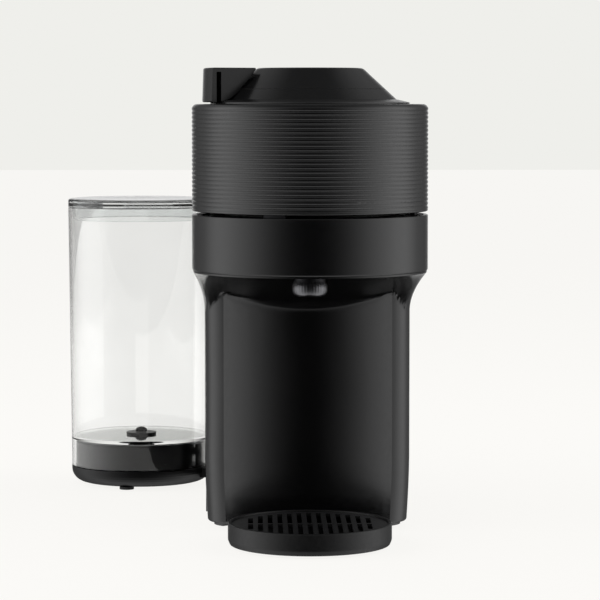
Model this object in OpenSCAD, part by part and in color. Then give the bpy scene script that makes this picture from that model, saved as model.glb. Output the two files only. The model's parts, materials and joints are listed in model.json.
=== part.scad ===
// Pod coffee machine with a round ribbed brew head on a flared column,
// a cup platform in front and a clear water tank on a swinging base beside the back.
// Origin: on the counter, under the middle of the coffee outlet.
// +X is the machine's right as seen from the front, -Y is the front, +Z is up.

/* [Brew head] */
// Outer radius of the brew head
head_r = 71; // [70:0.5:73]
// Height of the lower edge of the brew ring above the counter
ring_z = 167.5; // [164:0.5:172]
// Height of the brew ring
ring_h = 33.7; // [33:0.1:36]
// Open seam between the brew ring and the ribbed shell
seam_gap = 2; // [1.5:0.1:2.5]
// Height of the ribbed shell, from the seam to its deck
shell_h = 64; // [60:0.5:68]
// Spacing of the ribs round the shell
rib_pitch = 2.57; // [2.4:0.01:3]
// Radius of the rounded back of one rib
rib_back_r = 1.8; // [1.55:0.01:1.9]
// Depth of the valley between two ribs
rib_depth = 0.4; // [0.3:0.05:0.6]
// Plain band above the first rib's middle, with the rounded top edge
shell_edge = 2.8; // [2.5:0.1:3.2]
// Thickness of the moulded walls
wall = 2.5; // [2.2:0.1:2.8]

/* [Dome and lock lever] */
// Top of the dome above the deck
dome_h = 21.5; // [20:0.5:24]
// Radius of the dome's flat top
dome_top_r = 32.3; // [30:0.1:34]
// Radius of the dome where its straight slope ends at the flange
dome_foot_r = 51.9; // [50:0.1:53]
// Radius of the lever's flange on the deck
flange_r = 60; // [59:0.5:61]
// Height of the seam between the lever's ring and the dome cap above the deck
dome_seam_h = 8.8; // [8:0.1:10]
// Outer radius of the lever's grip
grip_r = 64.7; // [63:0.1:66]
// Angle that the grip takes round the dome
grip_angle = 50; // [40:1:60]
// Travel of the lock lever in degrees
lock_angle = 40; // [30:1:44]
// Radius of the start button
button_r = 13; // [10:0.5:15]
// Travel of the start button
button_travel = 1.5; // [1:0.1:2]

/* [Column and body] */
// Half the width of the column
column_half_w = 64.7; // [63:0.1:66]
// Radius of the column's hollow front, about the outlet's axis
recess_r = 77.5; // [77:0.1:78.5]
// Half the width of the hollow front, up to its edge
recess_half_w = 52.7; // [50:0.1:54]
// Angle between straight ahead and the way a front corner faces at that edge
corner_start = 25; // [15:1:30]
// Gap between the counter and the column's lower edge
column_bottom = 4; // [3.9:0.1:4.6]
// Draw-in of each side of the column at its foot
column_taper = 1.7; // [0:0.1:2]
// Height at which the front wall starts to curve forward under the head
cove_z = 135.5; // [132:0.5:138]
// Rise of that line from the middle to the corners
cove_rise = 14; // [8:0.5:16]
// Height at which the sides start to flare out to the ring
flare_z = 138; // [132:0.5:144]
// Distance from the outlet back to the seam between column and rear housing
split_y = 112; // [110:0.5:114]
// Distance from the outlet back to the rear face
rear_y = 257; // [255:0.5:262]
// Half the width of the body at its rear corners
rear_half_w = 60; // [58:0.5:62]
// Radius of the rear corners
rear_corner_r = 22; // [18:0.5:26]

/* [Base and feet] */
// Height of the rubber feet
foot_h = 1.8; // [1.5:0.1:2]
// Thickness of the base plate
base_t = 3.2; // [3:0.1:3.6]
// Radius of the base's round tongue under the cup platform
tongue_r = 41; // [36:0.5:43]
// Width of the neck from the base to its tongue
neck_w = 56; // [40:1:60]
// Radius of a rubber foot
foot_r = 7; // [5:0.5:8]
// Radius of a screw's shank
screw_r = 1.45; // [1.2:0.05:1.6]

/* [Cup platform] */
// Outer radius of the drip tray
tray_r = 49.8; // [47:0.1:52]
// Height of the drip tray's rim above the counter
tray_top = 14.4; // [13.5:0.1:18]
// Wall thickness of the drip tray
tray_wall = 2.2; // [1.8:0.1:2.5]
// Depth of the grid below the rim
grid_sink = 1.2; // [0.8:0.1:2]
// Thickness of the drip grid
grid_t = 2; // [1.5:0.1:2.2]
// Spacing of the grid's slots
slot_pitch = 6; // [5:0.5:8]
// Width of one slot
slot_w = 3; // [2:0.1:3.5]

/* [Brew unit] */
// Inside radius of the capsule holder
holder_r = 29; // [27:0.5:29.5]
// Inside depth of the capsule holder
holder_depth = 32; // [28:0.5:32.2]
// Radius of the holder's pulley
pulley_r = 34; // [33:0.5:34.5]
// Radius of the motor's pulley
motor_pulley_r = 12; // [10:0.5:13]
// Distance from the holder's axis back to the motor's axis
motor_y = 98; // [96:0.5:100]
// Radius of the motor
motor_r = 17; // [15:0.5:17]
// Length of the motor
motor_len = 52; // [40:1:52]
// Thickness of the drive belt
belt_t = 1.5; // [1:0.1:1.6]
// Outer radius of the coffee outlet
outlet_r = 10.7; // [10:0.1:11.5]
// Height of the coffee outlet's lower edge above the counter
outlet_z = 151.8; // [148:0.1:153]
// Radius of the hinge pin of the head
hinge_pin_r = 3; // [2.5:0.1:3.4]
// Radius of the piercing needle
needle_r = 1.4; // [1:0.1:1.8]

/* [Water system] */
// Radius of the water pump
pump_r = 18; // [15:0.5:18.5]
// Length of the water pump
pump_len = 80; // [70:1:84]
// Width of the thermoblock
heater_w = 40; // [34:1:42]
// Height of the thermoblock
heater_h = 54; // [44:1:58]
// Outer radius of the hoses
hose_r = 4; // [3.8:0.1:4.4]
// Inside radius of the hoses
hose_bore_r = 2.9; // [2.7:0.1:3.1]

/* [Capsule container] */
// Half the width of the capsule container
bin_half_w = 46; // [42:0.5:46.5]
// Length of the capsule container
bin_len = 113; // [105:0.5:122]
// Depth of the capsule container below its rim
bin_depth = 89; // [80:0.5:89.5]
// Wall thickness of the capsule container
bin_wall = 2; // [1.6:0.1:2.4]

/* [Water tank] */
// Outer radius of the tank at its lower edge
tank_r = 48.9; // [47:0.1:49.5]
// Growth of the tank's radius from its lower edge to its rim
tank_draft = 1.8; // [0.5:0.1:2]
// Wall thickness of the tank
tank_wall = 2.2; // [1.8:0.1:2.6]
// Height of the tank's rim above the counter
tank_top = 194.4; // [180:0.1:200]
// Height of the tank's floor above the counter
tank_floor_z = 32; // [31.5:0.1:36]
// Height of the tank base's lower tier
tier_h = 13.2; // [12.8:0.1:14]
// Height of the tank base's upper tier
socket_top = 30.9; // [29.5:0.1:31.2]
// Radius of the rounded lower edge of the tank base
base_round = 9; // [6:0.5:10]
// Thickness of the lid above the rim
lid_h = 6.1; // [5:0.1:8]
// Depth of the lid's inner skirt below the rim
lid_skirt = 8.4; // [6:0.1:12]
// Distance from the swing pivot to the tank's axis
arm_len = 66; // [65.5:0.5:69]
// Direction from the swing pivot to the tank at rest, in degrees from +X
arm_dir = 166; // [160:1:170]
// Distance from the middle plane to the swing pivot
pivot_x = -49; // [-50:0.5:-46]
// Radius of the swing pivot's post
post_r = 5; // [4.2:0.1:5.4]
// Travel of the water valve
valve_travel = 2.5; // [1.5:0.1:3]

/* [Fits] */
// Gap between pieces that move past each other
clear = 0.3; // [0.3:0.05:0.4]
// Radial clearance of a pin or shaft in its bore
fit = 0.06; // [0.03:0.01:0.09]

/* [Hidden] */
$fn = 96;
over = 1;            // how far a cut runs past the face that it opens

// Heights that follow from the driving sizes
ring_top = ring_z + ring_h;
shell_z = ring_top + seam_gap;
deck_z = shell_z + shell_h;
dome_z = deck_z + dome_h;
seam_z = deck_z + dome_seam_h;
rear_top = ring_top;
base_top = foot_h + base_t;

// Head shell
shell_skin_r = head_r - rib_depth;
shell_in_r = shell_skin_r - wall;
rib_first_z = deck_z - shell_edge;
shell_lip = 2;
rib_n = floor((rib_first_z - shell_z - shell_lip) / rib_pitch) + 1;
shell_edge_r = 3;
cable_hole_r = 20;

// Lock ring, its three legs and the slots that they pass
lock_pin_r = 2;
leg_out_r = shell_in_r - 3.6;
leg_in_r = leg_out_r - 3;
lock_out_r = leg_in_r - 3.5;
lock_in_r = lock_out_r - 8;
lock_pitch_r = (lock_in_r + lock_out_r) / 2;
lock_t = 4;
leg_angle = 12;
leg_starts = [-110, -10, 150];
claw_in_r = lock_out_r;
claw_t = 2.5;
claw_top = ring_top - 5.2;
roof_under = deck_z - wall;

// Dome: its slope runs from the flange's foot to the flat top
dome_slope_z = deck_z + 2.8;
dome_brow_z = dome_z - 0.6;
function dome_r(z) = dome_foot_r
  + (dome_top_r - dome_foot_r) * (z - dome_slope_z) / (dome_brow_z - dome_slope_z);
dome_neck_r = 41.2;

// Brew deck and liner
deck_t = 2;
brew_deck_z = ring_top - 0.2;
deck_hole_r = 37;
gasket_out_r = claw_in_r - 7;
gasket_in_r = gasket_out_r - 4;
gasket_t = 2;
liner_z = shell_z + 4.8;
liner_t = 2.5;
liner_r = leg_in_r - 1;
clamp_r = 34;
reader_h = 3.5;
clamp_t = 3.8;
hub_r = 10;
clamp_bearing_h = 10;
clamp_bearing_r = 17;
cup_top = liner_z + 15;
shell_post_r = 4;
shell_post_pitch = lock_in_r - 6;

// Capsule holder and its belt drive
holder_wall = 2;
holder_top = ring_top + 0.8;
holder_floor = holder_top - holder_depth;
belt_z = ring_z + 1.7;
belt_h = 4;
flange_rise = 1.5;
belt_gap = 0.3;
holder_bottom = ring_z + 0.5;
frame_z = ring_z + 7;
frame_t = 3;
trough_z = frame_z + frame_t;
trough_in_r = 38;
trough_out_r = claw_in_r - 1;
trough_t = 2;
holder_neck_r = holder_r + holder_wall + 0.7;
bearing_h = 10;
bearing_z = trough_z + 5.5;
frame_rear = motor_y + motor_r + 8;
frame_half_w = 34;
post_x = 28;
motor_top = ring_z - 7.5;
shaft_r = 3;
down_pipe_y = (trough_in_r + trough_out_r) / 2;
down_pipe_r = 5;
duct_z = ring_z - 4;
duct_half_w = 5.5;

// Head hinge
hinge_y = head_r + 7;
hinge_z = ring_top - 5.2;
knuckle_r = 6;
ear_x = 39;
ear_t = 6;
lug_t = 5;
ear_root_y = sqrt(pow(liner_r, 2) - pow(ear_x + ear_t / 2, 2)) - 3.5;
lug_outer_x = ear_x + ear_t / 2 + clear + lug_t / 2;
lug_inner_x = ear_x - ear_t / 2 - clear - lug_t / 2;
hinge_slot_x = lug_outer_x + lug_t;
hinge_slot_y = hinge_y + 11.5;

// Body
column_front = sqrt(recess_r * recess_r - recess_half_w * recess_half_w);
column_corner_r = (column_half_w - recess_half_w) / (1 - sin(corner_start));
corner_c = [column_half_w - column_corner_r, column_front + column_corner_r * cos(corner_start)];
cove_lift = 1.5;     // how much higher the cove's inner skin starts than its outer skin
under_r = head_r - 0.6;
under_side_angle = 16;
horn_y = 34;
flare_top = ring_z - 1;
column_side_y = 62;
rear_taper_y = 150;
shelf_z = rear_top - bin_depth - 5;
shelf_t = 3;
cover_t = 2.5;
bin_front = rear_y - 7 - bin_len;
bin_back = rear_y - 7;

// Water tank and its swing base
pivot = [pivot_x, rear_y + 9];
tank_axis = pivot + arm_len * [cos(arm_dir), sin(arm_dir)];
tank_in_r = tank_r - tank_wall;
tank_bottom = tier_h + clear;
hub_z = base_top + 0.9;
swing_hub_r = 14;
arm_top = tier_h - 0.8;
arm_half_w = 12;
stub_r = 5.9;
stub_bottom = socket_top - 8.9;
plunger_r = 1.5;
knob_r = 4.2;
seat_t = 1.5;
seat_r = 10.5;
floor_t = 2.2;
tank_floor_top = tank_floor_z + floor_t;
lid_pin_r = 1.5;
lid_pin_off = 4.5;
lid_pin_z = tank_top + 3;
lid_ear_x = 6;
function tank_r_at(z) = tank_r + tank_draft * (z - tank_bottom) / (tank_top - tank_bottom);

// Water system in the body
pump_x = 28;
pump_z = base_top + 29;
pump_front = 106;
heater_x = -23;
heater_front = 92;
heater_len = 78;
heater_z = base_top + 7;
meter = [-44, 212];
meter_z = base_top + 7;
nipple_r = hose_bore_r - clear;
nipple_z = base_top + 17;
nipple_len = 4;
gland_x = 30;
gland_z = base_top + 15;
gland_r = 8;
gland_bore_r = 3.8;

/* ---------- Shapes used by several sub-parts ---------- */

function unit(v) = v / norm(v);

// Points of an arc about c
function arc(c, r, a0, a1, n = 8) =
  [for (i = [0:n]) let (a = a0 + (a1 - a0) * i / n) c + r * [cos(a), sin(a)]];

// One corner [x, y, r] of an outline, rounded between its neighbours
function corner(a, b, c, n) =
  b[2] == 0 ? [[b.x, b.y]] :
  let (
    p = [b.x, b.y],
    u = unit([a.x, a.y] - p),
    v = unit([c.x, c.y] - p),
    half = acos(u * v) / 2,
    m = p + unit(u + v) * b[2] / sin(half),
    s = p + u * b[2] / tan(half) - m,
    e = p + v * b[2] / tan(half) - m,
    a0 = atan2(s.y, s.x),
    turn = atan2(e.y, e.x) - a0,
    sweep = turn > 180 ? turn - 360 : turn < -180 ? turn + 360 : turn
  ) arc(m, b[2], a0, a0 + sweep, n);

// An outline of corners [x, y, r]
function rounded(pts, n = 6) =
  let (k = len(pts))
  [for (i = [0:k - 1]) each corner(pts[(i + k - 1) % k], pts[i], pts[(i + 1) % k], n)];

module up(z) {
  translate([0, 0, z]) children();
}

// Ring of height h between two radii
module ring(r_out, r_in, h) {
  difference() {
    cylinder(r = r_out, h = h);
    up(-over) cylinder(r = r_in, h = h + 2 * over);
  }
}

// Ring between two radii that takes only part of a turn
module arc_block(r_in, r_out, h, a0, a1) {
  rotate([0, 0, a0]) rotate_extrude(angle = a1 - a0) translate([r_in, 0]) square([r_out - r_in, h]);
}

// Smooth curve from a to d that leaves towards b and arrives from c
function bezier(a, b, c, d, n = 16) =
  [for (i = [0:n]) let (t = i / n, s = 1 - t)
    s * s * s * a + 3 * s * s * t * b + 3 * s * t * t * c + t * t * t * d];

// Closed hollow tube along a path; side is a direction that the path never runs along
module tube(path, r_out, r_in, side, sides = 10) {
  k = len(path);
  rings = [for (i = [0:k - 1])
    let (
      way = unit(path[min(i + 1, k - 1)] - path[max(i - 1, 0)]),
      u = unit(cross(way, side)),
      v = cross(way, u)
    )
    for (r = [r_out, r_in], j = [0:sides - 1])
      path[i] + r * (u * cos(360 * j / sides) + v * sin(360 * j / sides))];
  step = 2 * sides;
  walls = [for (i = [0:k - 2], j = [0:sides - 1])
    let (a = i * step + j, b = i * step + (j + 1) % sides, c = a + step, d = b + step)
    each [[a, b, d], [a, d, c], [b + sides, a + sides, d + sides], [a + sides, c + sides, d + sides]]];
  ends = [for (j = [0:sides - 1])
    let (a = j, b = (j + 1) % sides, z = (k - 1) * step)
    each [[b, a, a + sides], [b, a + sides, b + sides],
      [z + a, z + b, z + a + sides], [z + b, z + b + sides, z + a + sides]]];
  polyhedron(rings, concat(walls, ends));
}

// Coil spring standing on z = 0
module coil(r, wire_r, turns, h, sides = 6, steps = 14) {
  n = turns * steps;
  pts = [for (i = [0:n])
    let (
      a = 360 * i / steps,
      m = [r * cos(a), r * sin(a), wire_r + (h - 2 * wire_r) * i / n],
      out = [cos(a), sin(a), 0]
    )
    for (j = [0:sides - 1])
      m + wire_r * (out * cos(360 * j / sides) + [0, 0, sin(360 * j / sides)])];
  skin = [for (i = [0:n - 1], j = [0:sides - 1])
    let (a = i * sides + j, b = i * sides + (j + 1) % sides)
    each [[a, b, b + sides], [a, b + sides, a + sides]]];
  first = [for (j = [0:sides - 1]) sides - 1 - j];
  last = [for (j = [0:sides - 1]) n * sides + j];
  polyhedron(pts, concat(skin, [first], [last]));
}

/* ---------- Outlines of the body ---------- */

front_n = 14;
corner_n = 12;
side_n = 4;

// Half-width of the body's side where it meets the ring, at a distance y behind the outlet
function side_x(y) =
  let (y0 = under_r * sin(under_side_angle), x0 = under_r * cos(under_side_angle))
  column_half_w + (x0 - column_half_w) * max(0, 1 - (y - y0) / (column_side_y - y0));

// Right half of the column's plan, from the middle of its front to the seam, set in by o
function plan_low(o) =
  let (
    ra = recess_r + o,
    rb = column_corner_r - o,
    d = norm(corner_c),
    edge_a = atan2(corner_c.x, corner_c.y) + acos((ra * ra + d * d - rb * rb) / (2 * ra * d)),
    edge = ra * [sin(edge_a), cos(edge_a)] - corner_c,
    start = atan2(edge.y, edge.x)
  )
  concat(
    [for (i = [0:front_n - 1]) let (a = edge_a * i / front_n) ra * [sin(a), cos(a)]],
    [for (i = [0:corner_n - 1]) let (a = start * (1 - i / corner_n)) corner_c + rb * [cos(a), sin(a)]],
    [for (i = [0:side_n]) [column_half_w - o, corner_c.y + (split_y - corner_c.y) * i / side_n]]);

// The same points where the column has spread to the ring's circle
function plan_high(o) = concat(
  [for (i = [0:front_n - 1])
    let (a = -90 + 45 * i / front_n) (under_r - o) * [cos(a), sin(a)]],
  [for (i = [0:corner_n - 1])
    let (a = -45 + (45 + under_side_angle) * i / corner_n) (under_r - o) * [cos(a), sin(a)]],
  [for (i = [0:side_n])
    let (y0 = under_r * sin(under_side_angle), y = y0 + (split_y - y0) * i / side_n)
    [side_x(y) - o, y]]);

function ease(t) = let (u = max(0, min(1, t))) u * u * (3 - 2 * u);

// Where the spread starts for point i, and how far it has gone at height z
function spread_z(i) = i <= front_n
  ? cove_z + cove_rise * pow(i / front_n, 2)
  : cove_z + cove_rise + (flare_z - cove_z - cove_rise) * ease((i - front_n) / (corner_n * 0.6));
function spread(i, z) =
  let (
    u = max(0, min(1, (z - spread_z(i)) / (flare_top - spread_z(i)))),
    k = ease((i - front_n * 0.55) / (corner_n * 1.1))
  )
  (1 - k) * (1 - sqrt(1 - u * u)) + k * pow(u, 1.5);

taper_z = 45;
edge_r = 1.5;
function foot_scale(z) =
  1 - column_taper / column_half_w * pow(max(0, (taper_z - z) / (taper_z - column_bottom)), 1.6);
function foot_inset(z) =
  let (d = max(0, column_bottom + edge_r - z)) edge_r - sqrt(edge_r * edge_r - d * d);

// Whole plan of the column at height z, from the left seam round the front to the right seam
function column_plan(o, z, lift) =
  let (
    low = plan_low(o),
    high = plan_high(o),
    half = [for (i = [0:len(low) - 1])
      let (p = low[i] + (high[i] - low[i]) * spread(i, z - lift)) [p.x * foot_scale(z), p.y]],
    n = len(half)
  )
  concat([for (i = [n - 1:-1:1]) [-half[i].x, half[i].y]], half);

cove_rows = 16;
column_rows = concat(
  [for (i = [0:3]) column_bottom + edge_r * (1 - cos(30 * i))],
  [12, 20, 28, 36, 44, 90, cove_z - 4],
  [for (i = [0:cove_rows]) cove_z + (flare_top - cove_z) * sin(90 * i / cove_rows)],
  [ring_z]);

// Rear of the body behind the seam, set in by o
function rear_plan(o) = rounded([
  [column_half_w - o, split_y + 0.15, 0],
  [column_half_w - o, rear_taper_y, 60],
  [rear_half_w - o, rear_y - o, rear_corner_r - o],
  [o - rear_half_w, rear_y - o, rear_corner_r - o],
  [o - column_half_w, rear_taper_y, 60],
  [o - column_half_w, split_y + 0.15, 0]
], 8);

// Shoulder of the rear housing that reaches forward beside the ring, on the right
function shoulder(o) = [
  [side_x(horn_y) - o, horn_y],
  [column_half_w - o, column_side_y],
  [column_half_w - o, split_y + over]
];

// Places of the case screws, from front to rear
screw_x = column_half_w - 12.5;
screws = [
  [screw_x, 84], [-screw_x, 84], [screw_x, 134], [-screw_x, 134],
  [rear_half_w - 13.8, rear_y - 17], [-8, rear_y - 12]
];
boss_r = 5;
boss_h = 16;
feet = [[screw_x - 9, 80], [9 - screw_x, 80], [40, rear_y - 30], [-30, rear_y - 36]];

/* ---------- Base ---------- */

base_inset = wall + 3.2;

module base_outline() {
  low = plan_low(base_inset);
  polygon(concat([for (i = [len(low) - 2:-1:1]) [-low[i].x, low[i].y]], [for (p = low) p],
    rear_plan(base_inset)));
}

module base_plate() color("#1b1b1d") difference() {
  union() {
    up(foot_h) linear_extrude(base_t) difference() {
      base_outline();
      translate(pivot) circle(r = swing_hub_r + 2.5);
    }
    up(foot_h) cylinder(r = tongue_r, h = base_t);
    translate([-neck_w / 2, 0, foot_h])
      cube([neck_w, recess_r + base_inset + over, column_bottom - clear - foot_h]);
    // tab under the swing hub, with the pivot post on it
    translate([pivot.x, pivot.y, foot_h]) cylinder(r = swing_hub_r - over, h = base_t + clear);
    translate([pivot.x - 8, pivot.y - 30, foot_h]) cube([22, 24, base_t + clear]);
    translate([pivot.x, pivot.y, foot_h]) cylinder(r = post_r, h = tier_h + clear - foot_h);
  }
  for (p = screws) translate([p.x, p.y, 0]) {
    cylinder(r = screw_r + clear, h = base_top + over);
    cylinder(r = screw_r + 2.3, h = foot_h + 2);
  }
  // vents under the pump and the heater
  for (x = [-36, 24], i = [0:6]) translate([x, 110 + 9 * i, 0]) cube([18, 3, base_top + over]);
}

module rubber_feet() color("#101010") {
  cylinder(r = foot_r * 2, h = foot_h);
  for (p = feet) translate([p.x, p.y, 0]) cylinder(r = foot_r, h = foot_h);
}

module case_screws() color("silver") for (p = screws) translate([p.x, p.y, foot_h]) {
  cylinder(r = screw_r, h = boss_h);
  difference() {
    cylinder(r = screw_r + 2, h = 1.9);
    up(-over) cylinder(r = 1.2, h = 2 * over, $fn = 6);
  }
}

module screw_boss(p) {
  translate([p.x, p.y, base_top]) difference() {
    cylinder(r = boss_r, h = boss_h);
    up(-over) cylinder(r = screw_r + fit, h = boss_h);
  }
}

// Web from a boss to the side wall beside it
module boss_web(p, reach) {
  s = sign(p.x);
  translate([s > 0 ? p.x + screw_r + over : p.x - reach, p.y - 1, base_top])
    cube([reach - screw_r - over, 2, boss_h]);
}

/* ---------- Column and rear body ---------- */

module column_shell() color("#232325") {
  n = 2 * (front_n + corner_n + side_n) + 1;
  k = len(column_rows);
  pts = [for (z = column_rows) each concat(
    [for (p = column_plan(foot_inset(z), z, 0)) [p.x, p.y, z]],
    [for (p = column_plan(wall, z, cove_lift)) [p.x, p.y, z]])];
  row = 2 * n;
  faces = concat(
    [for (j = [0:k - 2], i = [0:n - 2])
      let (a = j * row + i, b = a + n)
      each [[a, a + row, a + row + 1], [a, a + row + 1, a + 1],
        [b, b + row + 1, b + row], [b, b + 1, b + row + 1]]],
    [for (j = [0:k - 2])
      let (a = j * row, c = a + n - 1)
      each [[a, a + n, a + row], [a + n, a + n + row, a + row],
        [c, c + row, c + n], [c + n, c + row, c + n + row]]],
    [for (i = [0:n - 2])
      let (t = (k - 1) * row + i)
      each [[i, i + 1, i + n], [i + 1, i + n + 1, i + n],
        [t, t + n, t + 1], [t + 1, t + n, t + n + 1]]]);
  difference() {
    polyhedron(pts, faces);
    up(outlet_z - over) cylinder(r = outlet_r + clear, h = ring_z - outlet_z + 2 * over);
  }
  for (i = [0, 1]) {
    screw_boss(screws[i]);
    boss_web(screws[i], column_half_w - wall - screw_x + 0.5 - column_taper);
  }
}

module rear_housing() color("#202022") difference() {
  union() {
    difference() {
      up(column_bottom) linear_extrude(rear_top - cover_t - column_bottom) difference() {
        polygon(rear_plan(0));
        difference() {
          polygon(rear_plan(wall));
          translate([-head_r, split_y - 20]) square([2 * head_r, 19]);
        }
        translate([wall - column_half_w, split_y - over])
          square([2 * (column_half_w - wall), 5 * over]);
      }
      translate([pivot.x, pivot.y, 0]) cylinder(r = swing_hub_r + 2.5, h = tier_h + 4.2);
      translate([pivot.x - 8 - clear, pivot.y - 30, 0])
        cube([22 + 2 * clear, 24, base_top + 2 * clear]);
    }
    for (s = [-1, 1]) up(ring_z + clear) linear_extrude(rear_top - cover_t - ring_z - clear)
      difference() {
        scale([s, 1]) polygon(concat(shoulder(0),
          [for (i = [2:-1:0]) shoulder(wall)[i]]));
        circle(r = head_r + clear);
      }
    for (i = [2:5]) screw_boss(screws[i]);
    for (i = [2, 3]) boss_web(screws[i], column_half_w - wall - screw_x + 0.5);
    up(base_top) linear_extrude(boss_h) difference() {
      intersection() {
        polygon(rear_plan(wall / 2));
        translate([screws[4].x - 1, screws[4].y]) square([2, rear_corner_r]);
      }
      translate(screws[4]) circle(r = screw_r + over);
    }
    translate([screws[5].x - 1, screws[5].y + 2, base_top])
      cube([2, rear_y - wall - screws[5].y - 2 + 0.5, boss_h]);
  }
  // holes for the cord gland and the water fitting
  translate([gland_x, rear_y + over, gland_z]) rotate([90, 0, 0]) cylinder(r = gland_r + clear, h = 8);
  translate([pivot.x, rear_y + over, nipple_z]) rotate([90, 0, 0]) cylinder(r = hose_r + 1, h = 20);
  // cooling slots low on the rear wall
  for (i = [0:5]) translate([-24 + 9 * i, rear_y - wall - over, 46]) cube([3, wall + 2 * over, 34]);
}

// Shelf under the capsule container
module container_shelf() color("#2b2b2d") up(shelf_z) linear_extrude(shelf_t) difference() {
  polygon(rear_plan(wall + clear));
  translate([-head_r, 0]) square([2 * head_r, bin_front - 3]);
}

module rear_cover() color("#232325") up(rear_top - cover_t) linear_extrude(cover_t) difference() {
  union() {
    polygon(rear_plan(0));
    for (s = [-1, 1]) scale([s, 1]) polygon(concat(shoulder(0), [[0, split_y + over], [0, horn_y]]));
  }
  circle(r = head_r + clear);
  translate([-hinge_slot_x, 0]) square([2 * hinge_slot_x, hinge_slot_y]);
  polygon(bin_plan(-0.5));
}

/* ---------- Brew unit in the base body ---------- */

module brew_ring() color("#29292b") difference() {
  rotate_extrude() polygon(rounded([
    [head_r - wall, ring_z, 0], [head_r, ring_z, 1.2], [head_r, ring_top, 0.8],
    [head_r - wall, ring_top, 0.5], [head_r - wall, frame_z - clear, 0],
    [head_r - wall - 4, frame_z - clear, 0], [head_r - wall - 4, frame_z - clear - 3, 0],
    [head_r - wall, frame_z - clear - 3, 0]
  ]));
  // window for the belt and the frame
  translate([-frame_half_w - 4, 40, ring_z - over])
    cube([2 * frame_half_w + 8, head_r, frame_z + frame_t + clear - ring_z + over]);
}

module brew_deck() color("#2b2b2d") up(brew_deck_z - deck_t) difference() {
  ring(head_r - wall - clear, deck_hole_r, deck_t);
  for (a = leg_starts) up(-over) {
    arc_block(leg_in_r - 1, leg_out_r + 1, deck_t + 2 * over, a - leg_angle / 2 - 2,
      a + leg_angle / 2 + lock_angle + 2);
    arc_block(claw_in_r - 1, leg_in_r, deck_t + 2 * over, a - leg_angle / 2 - 2, a + leg_angle / 2 + 2);
  }
}

module deck_gasket() color("#7a2f24") up(brew_deck_z) ring(gasket_out_r, gasket_in_r, gasket_t);

module coffee_collector() color("#3a3a3d") difference() {
  union() {
    rotate_extrude() polygon([
      [trough_in_r, trough_z], [trough_out_r, trough_z], [trough_out_r, brew_deck_z - deck_t],
      [trough_out_r - trough_t, brew_deck_z - deck_t], [trough_out_r - trough_t, trough_z + trough_t],
      [trough_in_r + trough_t, trough_z + trough_t], [trough_in_r + trough_t, bearing_z + bearing_h + 2],
      [trough_in_r, bearing_z + bearing_h + 2], [trough_in_r, bearing_z - clear],
      [trough_in_r - 3, bearing_z - clear], [trough_in_r - 3, bearing_z - 2], [trough_in_r, bearing_z - 2]
    ]);
    translate([0, down_pipe_y, duct_z]) cylinder(r = down_pipe_r, h = trough_z - duct_z + over);
    translate([-duct_half_w, 0, duct_z])
      cube([2 * duct_half_w, down_pipe_y, holder_bottom - 0.5 - duct_z]);
    up(duct_z) cylinder(r = duct_half_w, h = holder_bottom - 0.5 - duct_z);
    up(outlet_z + 6) cylinder(r = duct_half_w, h = duct_z - outlet_z - 6);
  }
  translate([0, down_pipe_y, duct_z + 1]) cylinder(r = down_pipe_r - 1.5, h = ring_h);
  translate([-duct_half_w + 1.5, 0, duct_z + 1])
    cube([2 * duct_half_w - 3, down_pipe_y, 2]);
  up(outlet_z + 5) cylinder(r = duct_half_w - 1.5, h = duct_z - outlet_z - 2);
}

module coffee_outlet() color("#8b8d92") difference() {
  rotate_extrude() polygon(rounded([
    [0, outlet_z + 3, 0], [2.2, outlet_z + 1, 0], [outlet_r - 1.6, outlet_z, 0], [outlet_r, outlet_z, 0.8],
    [outlet_r, duct_z - clear, 0.6], [duct_half_w + clear, duct_z - clear, 0],
    [duct_half_w + clear, outlet_z + 5.5, 0], [0, outlet_z + 5.5, 0]
  ]));
  for (s = [-1, 1]) translate([s * 4.6, 0, outlet_z - over]) cylinder(r = 1.9, h = 10, $fn = 32);
}

module brew_frame() color("#5c5f63") difference() {
  union() {
    up(frame_z) ring(head_r - wall - clear, trough_in_r, frame_t);
    translate([-frame_half_w, trough_in_r + 2, frame_z])
      cube([2 * frame_half_w, frame_rear - trough_in_r - 2, frame_t]);
    translate([-lug_outer_x - lug_t / 2, hinge_y - 5, frame_z])
      cube([2 * lug_outer_x + lug_t, 10, frame_t]);
    for (s = [-1, 1], x = [lug_outer_x, lug_inner_x]) {
      translate([s * x - lug_t / 2, hinge_y - 5, frame_z]) cube([lug_t, 10, hinge_z - frame_z]);
      translate([s * x - lug_t / 2, hinge_y, hinge_z]) rotate([0, 90, 0])
        cylinder(r = knuckle_r - 0.5, h = lug_t);
    }
    for (x = [-post_x, post_x], y = [motor_y - motor_r - 1, motor_y + motor_r + 1])
      translate([x, y, motor_top]) cylinder(r = 3.5, h = frame_z - motor_top + over);
  }
  translate([0, down_pipe_y, frame_z - over]) cylinder(r = down_pipe_r + clear, h = frame_t + 2 * over);
  translate([-hinge_slot_x, hinge_y, hinge_z]) rotate([0, 90, 0])
    cylinder(r = hinge_pin_r + fit, h = 2 * hinge_slot_x);
}

module holder_bearing() color("silver") up(bearing_z) {
  difference() {
    ring(trough_in_r - clear, holder_neck_r + fit, bearing_h);
    // groove that shows the split between the races
    up(bearing_h - 0.8) ring(holder_neck_r + 3.8, holder_neck_r + 2, 2);
  }
}

module spin_motor() color("#4a4d52") difference() {
  union() {
    up(motor_top - motor_len) motor_can();
    translate([-post_x - 4, motor_y - motor_r - 5, motor_top - 2])
      cube([2 * post_x + 8, 2 * motor_r + 10, 2]);
  }
  translate([0, motor_y, motor_top - 24]) cylinder(r = shaft_r + fit, h = 24 + over);
}

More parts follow.
